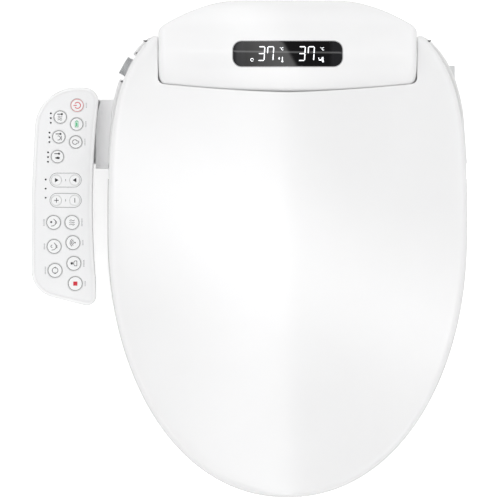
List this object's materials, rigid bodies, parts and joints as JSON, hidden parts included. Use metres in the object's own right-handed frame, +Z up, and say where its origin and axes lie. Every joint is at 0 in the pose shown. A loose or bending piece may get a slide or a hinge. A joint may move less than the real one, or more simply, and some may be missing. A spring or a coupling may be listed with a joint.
{
  "type": "electric bidet seat",
  "caption": "Elongated electric bidet seat with a hinged lid over a heated seat, a rear housing with a display, and a side control panel.",
  "frame": {"origin": "midway between the two fixing bolts, on the plane of the toilet rim", "axes": "+X to the sitter's left as seen from above with the rear up, +Y to the rear (the tank), +Z up"},
  "size_m": [0.4638, 0.5277, 0.1303],
  "materials": {
    "casing_white": "glossy moulded",
    "lid_white": "high gloss moulded",
    "seat_white": "glossy moulded",
    "key_white": "satin with a printed ring and symbol",
    "overlay_film": "satin printed film",
    "lens_black": "polished, smoked",
    "clear_lens": "clear moulded",
    "inner_grey": "moulded",
    "inner_dark": "moulded",
    "acetal": "moulded acetal",
    "circuit_board": "lacquered",
    "heater_foil": "foil",
    "rubber_grey": "matt",
    "steel": "brushed"
  },
  "bodies": {
    "base": {"mounting_plate": "casing_white", "slot_inserts": "inner_grey", "plate_pads": "rubber_grey", "lower_casing": "casing_white", "upper_casing": "casing_white", "case_screws": "steel", "display_lens": "lens_black", "display_board": "circuit_board", "main_board": "circuit_board", "cord_gland": "inner_grey", "night_light": "clear_lens", "hinge_dampers": "inner_dark", "water_inlet": "inner_grey", "inlet_filter": "inner_grey", "solenoid_valve": "inner_grey", "water_heater": "inner_grey", "blower_housing": "inner_grey", "nozzle_cradle": "inner_grey", "nozzle_motors": "steel", "side_arm": "casing_white", "panel_lower_case": "casing_white", "panel_upper_case": "casing_white", "panel_overlay": "overlay_film", "panel_board": "circuit_board", "switch_domes": "steel", "indicator_lights": "clear_lens"},
    "lid": {"lid": "lid_white", "lid_bumpers": "rubber_grey", "lid_hinge_shaft": "steel"},
    "seat": {"seat_upper": "seat_white", "seat_lower": "seat_white", "seat_heater": "heater_foil", "seat_bumpers": "rubber_grey", "seat_hinge_shaft": "steel"},
    "rear_wand": {"rear_wand": "steel", "rear_tip": "casing_white"},
    "front_wand": {"front_wand": "steel", "front_tip": "casing_white"},
    "rear_pinion": {"rear_pinion": "acetal"},
    "front_pinion": {"front_pinion": "acetal"},
    "blower_wheel": {"blower_wheel": "inner_dark"},
    "dryer_flap": {"dryer_flap": "casing_white"},
    "release_button": {"release_button": "inner_grey"},
    "key_power": {"key_power": "key_white"},
    "key_eco": {"key_eco": "key_white"},
    "key_light": {"key_light": "key_white"},
    "key_dry_temp": {"key_dry_temp": "key_white"},
    "key_seat_temp": {"key_seat_temp": "key_white"},
    "key_water_temp": {"key_water_temp": "key_white"},
    "key_position_up": {"key_position_up": "key_white"},
    "key_position_down": {"key_position_down": "key_white"},
    "key_flow_up": {"key_flow_up": "key_white"},
    "key_flow_down": {"key_flow_down": "key_white"},
    "key_rear": {"key_rear": "key_white"},
    "key_dry": {"key_dry": "key_white"},
    "key_pulse": {"key_pulse": "key_white"},
    "key_front": {"key_front": "key_white"},
    "key_child": {"key_child": "key_white"},
    "key_auto": {"key_auto": "key_white"},
    "key_stop": {"key_stop": "key_white"}
  },
  "joints": [
    {"name": "seat_hinge", "type": "hinge", "parent": "base", "child": "seat", "pos_m": [0, 0.008, 0.068], "axis": [-1, 0, 0], "range_deg": [0, 95]},
    {"name": "lid_hinge", "type": "hinge", "parent": "seat", "child": "lid", "pos_m": [0, 0.008, 0.068], "axis": [1, 0, 0], "range_deg": [-100, 0]},
    {"name": "rear_wand_slide", "type": "slide", "parent": "base", "child": "rear_wand", "axis": [0, -0.891, -0.454], "range_m": [0, 0.095]},
    {"name": "rear_pinion_spin", "type": "hinge", "parent": "base", "child": "rear_pinion", "pos_m": [-0.011, -0.04909, 0.02573], "axis": [1, 0, 0], "range_deg": [-1, 908.18]},
    {"name": "front_wand_slide", "type": "slide", "parent": "base", "child": "front_wand", "axis": [0, -0.891, -0.454], "range_m": [0, 0.095]},
    {"name": "front_pinion_spin", "type": "hinge", "parent": "base", "child": "front_pinion", "pos_m": [0.011, -0.04909, 0.02573], "axis": [1, 0, 0], "range_deg": [-1, 908.18]},
    {"name": "blower_spin", "type": "hinge", "parent": "base", "child": "blower_wheel", "pos_m": [0.1, -0.06, 0.025], "axis": [0, 0, 1], "continuous": true},
    {"name": "dryer_flap_hinge", "type": "hinge", "parent": "base", "child": "dryer_flap", "pos_m": [0.052, -0.1036, 0.0272], "axis": [-1, 0, 0], "range_deg": [0, 70]},
    {"name": "release_button_press", "type": "slide", "parent": "base", "child": "release_button", "axis": [-1, 0, 0], "range_m": [0, 0.005], "stiffness_N_per_m": 400, "springref_m": -0.002},
    {"name": "key_power_press", "type": "slide", "parent": "base", "child": "key_power", "axis": [0, 0, -1], "range_m": [0, 0.0006], "stiffness_N_per_m": 1500, "springref_m": -0.0004},
    {"name": "key_eco_press", "type": "slide", "parent": "base", "child": "key_eco", "axis": [0, 0, -1], "range_m": [0, 0.0006], "stiffness_N_per_m": 1500, "springref_m": -0.0004},
    {"name": "key_light_press", "type": "slide", "parent": "base", "child": "key_light", "axis": [0, 0, -1], "range_m": [0, 0.0006], "stiffness_N_per_m": 1500, "springref_m": -0.0004},
    {"name": "key_dry_temp_press", "type": "slide", "parent": "base", "child": "key_dry_temp", "axis": [0, 0, -1], "range_m": [0, 0.0006], "stiffness_N_per_m": 1500, "springref_m": -0.0004},
    {"name": "key_seat_temp_press", "type": "slide", "parent": "base", "child": "key_seat_temp", "axis": [0, 0, -1], "range_m": [0, 0.0006], "stiffness_N_per_m": 1500, "springref_m": -0.0004},
    {"name": "key_water_temp_press", "type": "slide", "parent": "base", "child": "key_water_temp", "axis": [0, 0, -1], "range_m": [0, 0.0006], "stiffness_N_per_m": 1500, "springref_m": -0.0004},
    {"name": "key_position_up_press", "type": "slide", "parent": "base", "child": "key_position_up", "axis": [0, 0, -1], "range_m": [0, 0.0006], "stiffness_N_per_m": 1500, "springref_m": -0.0004},
    {"name": "key_position_down_press", "type": "slide", "parent": "base", "child": "key_position_down", "axis": [0, 0, -1], "range_m": [0, 0.0006], "stiffness_N_per_m": 1500, "springref_m": -0.0004},
    {"name": "key_flow_up_press", "type": "slide", "parent": "base", "child": "key_flow_up", "axis": [0, 0, -1], "range_m": [0, 0.0006], "stiffness_N_per_m": 1500, "springref_m": -0.0004},
    {"name": "key_flow_down_press", "type": "slide", "parent": "base", "child": "key_flow_down", "axis": [0, 0, -1], "range_m": [0, 0.0006], "stiffness_N_per_m": 1500, "springref_m": -0.0004},
    {"name": "key_rear_press", "type": "slide", "parent": "base", "child": "key_rear", "axis": [0, 0, -1], "range_m": [0, 0.0006], "stiffness_N_per_m": 1500, "springref_m": -0.0004},
    {"name": "key_dry_press", "type": "slide", "parent": "base", "child": "key_dry", "axis": [0, 0, -1], "range_m": [0, 0.0006], "stiffness_N_per_m": 1500, "springref_m": -0.0004},
    {"name": "key_pulse_press", "type": "slide", "parent": "base", "child": "key_pulse", "axis": [0, 0, -1], "range_m": [0, 0.0006], "stiffness_N_per_m": 1500, "springref_m": -0.0004},
    {"name": "key_front_press", "type": "slide", "parent": "base", "child": "key_front", "axis": [0, 0, -1], "range_m": [0, 0.0006], "stiffness_N_per_m": 1500, "springref_m": -0.0004},
    {"name": "key_child_press", "type": "slide", "parent": "base", "child": "key_child", "axis": [0, 0, -1], "range_m": [0, 0.0006], "stiffness_N_per_m": 1500, "springref_m": -0.0004},
    {"name": "key_auto_press", "type": "slide", "parent": "base", "child": "key_auto", "axis": [0, 0, -1], "range_m": [0, 0.0006], "stiffness_N_per_m": 1500, "springref_m": -0.0004},
    {"name": "key_stop_press", "type": "slide", "parent": "base", "child": "key_stop", "axis": [0, 0, -1], "range_m": [0, 0.0006], "stiffness_N_per_m": 1500, "springref_m": -0.0004}
  ],
  "couplings": [
    {"joint": "rear_pinion_spin", "follows": "rear_wand_slide", "rad_per_m": 166.67},
    {"joint": "front_pinion_spin", "follows": "front_wand_slide", "rad_per_m": 166.67}
  ]
}
